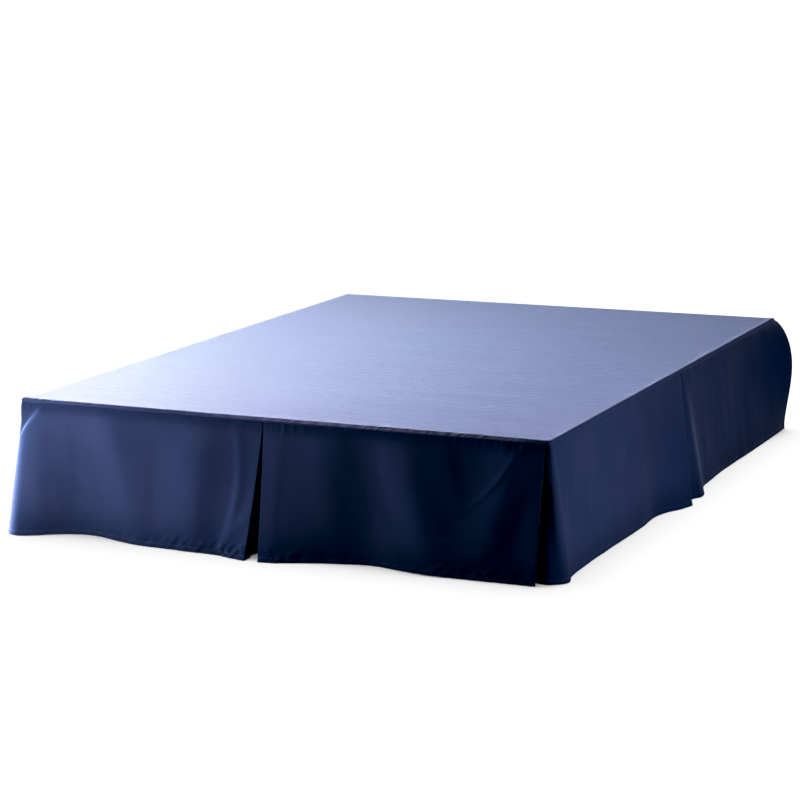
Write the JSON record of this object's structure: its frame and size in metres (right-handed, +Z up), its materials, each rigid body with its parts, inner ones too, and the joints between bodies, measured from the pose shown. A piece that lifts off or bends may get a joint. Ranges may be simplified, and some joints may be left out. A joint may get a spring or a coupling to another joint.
{
  "type": "bed skirt on a bed base",
  "caption": "Tailored bed skirt, a flat deck cloth with floor-length drop panels and open inverted pleats, draped over a plain upholstered box base on turned legs.",
  "frame": {"origin": "on the floor under the middle of the deck", "axes": "+Z up, +Y from the foot end to the head end, +X to the right of someone who stands at the foot end facing the bed"},
  "size_m": [1.675, 2.1355, 0.3578],
  "materials": {
    "navy_cloth": "thin plain-weave brushed polyester, matt with a soft sheen at grazing angles",
    "ticking": "plain off-white cotton ticking over the box",
    "dark_wood": "dark stained, satin"
  },
  "bodies": {
    "root": {"deck": "navy_cloth", "foot_panel_left": "navy_cloth", "foot_panel_right": "navy_cloth", "foot_pleat_underlay": "navy_cloth", "right_panel_near": "navy_cloth", "right_panel_far": "navy_cloth", "left_panel_near": "navy_cloth", "left_panel_far": "navy_cloth", "bed_base": "ticking", "leg_foot_left": "dark_wood", "leg_foot_right": "dark_wood", "leg_middle_left": "dark_wood", "leg_middle_right": "dark_wood", "leg_head_left": "dark_wood", "leg_head_right": "dark_wood", "leg_centre": "dark_wood"}
  },
  "joints": []
}
